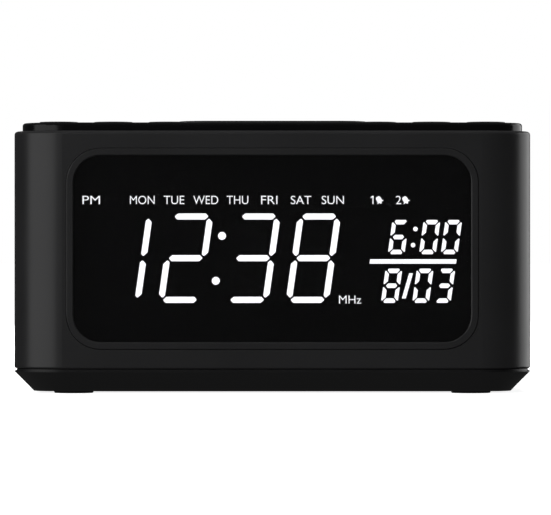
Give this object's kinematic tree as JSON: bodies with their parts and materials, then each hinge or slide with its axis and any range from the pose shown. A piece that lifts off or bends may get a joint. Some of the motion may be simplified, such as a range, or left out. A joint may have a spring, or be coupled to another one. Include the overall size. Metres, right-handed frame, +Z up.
{
  "type": "clock radio",
  "caption": "Bedside clock radio: rounded rectangular case on a chamfered base, wide tinted window with white slanted digits, top keys with a snooze bar, rear speaker grille and sockets.",
  "frame": {"origin": "centre of the footprint, on the surface that the feet stand on", "axes": "+X to the right as seen from the front (the long side), +Z up, and the display faces -Y"},
  "size_m": [0.175, 0.0886, 0.0931],
  "materials": {
    "case_black": "fine matte texture",
    "plate_black": "fine matte texture, a little darker",
    "key_black": "satin",
    "grille_steel": "matte black paint",
    "foot_rubber": "matte",
    "lens_smoke": "polished tinted acrylic",
    "film_black": "matte black mask",
    "reflector_grey": "matte",
    "segment_lit": "lit white diffuser",
    "segment_unlit": "dark diffuser",
    "led_white": "phosphor",
    "board_green": "solder mask",
    "component_black": "moulded",
    "component_can": "satin, dark sleeve",
    "shield_tin": "tinned",
    "socket_metal": "nickel plated",
    "tongue_white": "moulded",
    "plunger_grey": "moulded",
    "speaker_steel": "zinc plated",
    "magnet_ferrite": "ferrite",
    "cone_paper": "pressed paper",
    "surround_rubber": "satin",
    "spider_cloth": "resin-dipped cloth",
    "coil_copper": "enamelled copper wire",
    "cell_steel": "stainless",
    "contact_brass": "plated",
    "ribbon_grey": "flexible insulation",
    "wire_red": "flexible insulation",
    "spring_steel": "drawn wire",
    "screw_steel": "zinc plated"
  },
  "bodies": {
    "housing": {"antenna_gland": "component_black", "aux_jack": "component_black", "base_cover": "case_black", "base_screws": "screw_steel", "board_chips": "component_black", "capacitors": "component_can", "cell_contacts": "contact_brass", "coin_cell": "cell_steel", "colon_and_marks_lit": "segment_lit", "dc_jack": "component_black", "dc_jack_pin": "socket_metal", "display_bezel": "case_black", "display_board": "board_green", "display_film": "film_black", "display_lens": "lens_smoke", "hookup_wires": "wire_red", "inner_screws": "screw_steel", "key_board": "board_green", "led_block": "reflector_grey", "led_chips": "led_white", "legend_lights": "segment_lit", "main_board": "board_green", "main_case": "case_black", "panel_screws": "screw_steel", "radio_shield": "shield_tin", "rear_panel": "case_black", "ribbon_cables": "ribbon_grey", "rubber_feet": "foot_rubber", "small_segments_lit": "segment_lit", "snooze_springs": "spring_steel", "speaker_frame": "speaker_steel", "speaker_grille": "grille_steel", "speaker_magnet": "magnet_ferrite", "speaker_spider": "spider_cloth", "speaker_surround": "surround_rubber", "speaker_yoke": "speaker_steel", "switch_bodies": "component_black", "time_segments_lit": "segment_lit", "top_plate": "plate_black", "unlit_segments": "segment_unlit", "usb_shell": "socket_metal", "usb_tongue": "tongue_white"},
    "power_key": {"power_button": "key_black", "power_plunger": "plunger_grey"},
    "alarm_one_key": {"alarm_one_button": "key_black", "alarm_one_plunger": "plunger_grey"},
    "alarm_two_key": {"alarm_two_button": "key_black", "alarm_two_plunger": "plunger_grey"},
    "mode_key": {"mode_button": "key_black", "mode_plunger": "plunger_grey"},
    "volume_down_key": {"volume_down_button": "key_black", "volume_down_plunger": "plunger_grey"},
    "volume_up_key": {"volume_up_button": "key_black", "volume_up_plunger": "plunger_grey"},
    "snooze_key": {"snooze_bar": "key_black", "snooze_plunger": "plunger_grey"},
    "hatch": {"battery_hatch": "case_black"},
    "cone": {"speaker_cone": "cone_paper", "speaker_dust_cap": "cone_paper", "voice_coil": "coil_copper"}
  },
  "joints": [
    {"name": "power_press", "type": "slide", "parent": "housing", "child": "power_key", "axis": [0, 0, -1], "range_m": [0, 0.0006], "stiffness_N_per_m": 250, "springref_m": -0.002},
    {"name": "alarm_one_press", "type": "slide", "parent": "housing", "child": "alarm_one_key", "axis": [0, 0, -1], "range_m": [0, 0.0006], "stiffness_N_per_m": 250, "springref_m": -0.002},
    {"name": "alarm_two_press", "type": "slide", "parent": "housing", "child": "alarm_two_key", "axis": [0, 0, -1], "range_m": [0, 0.0006], "stiffness_N_per_m": 250, "springref_m": -0.002},
    {"name": "mode_press", "type": "slide", "parent": "housing", "child": "mode_key", "axis": [0, 0, -1], "range_m": [0, 0.0006], "stiffness_N_per_m": 250, "springref_m": -0.002},
    {"name": "volume_down_press", "type": "slide", "parent": "housing", "child": "volume_down_key", "axis": [0, 0, -1], "range_m": [0, 0.0006], "stiffness_N_per_m": 250, "springref_m": -0.002},
    {"name": "volume_up_press", "type": "slide", "parent": "housing", "child": "volume_up_key", "axis": [0, 0, -1], "range_m": [0, 0.0006], "stiffness_N_per_m": 250, "springref_m": -0.002},
    {"name": "snooze_press", "type": "slide", "parent": "housing", "child": "snooze_key", "axis": [0, 0, -1], "range_m": [0, 0.001], "stiffness_N_per_m": 400, "springref_m": -0.002, "deforming": ["snooze_springs"]},
    {"name": "hatch_turn", "type": "hinge", "parent": "housing", "child": "hatch", "pos_m": [-0.036, 0, 0.003], "axis": [0, 0, 1], "range_deg": [0, 60]},
    {"name": "cone_move", "type": "slide", "parent": "housing", "child": "cone", "axis": [0, 1, 0], "range_m": [-0.0008, 0.0008], "stiffness_N_per_m": 300, "deforming": ["speaker_surround", "speaker_spider"]}
  ]
}
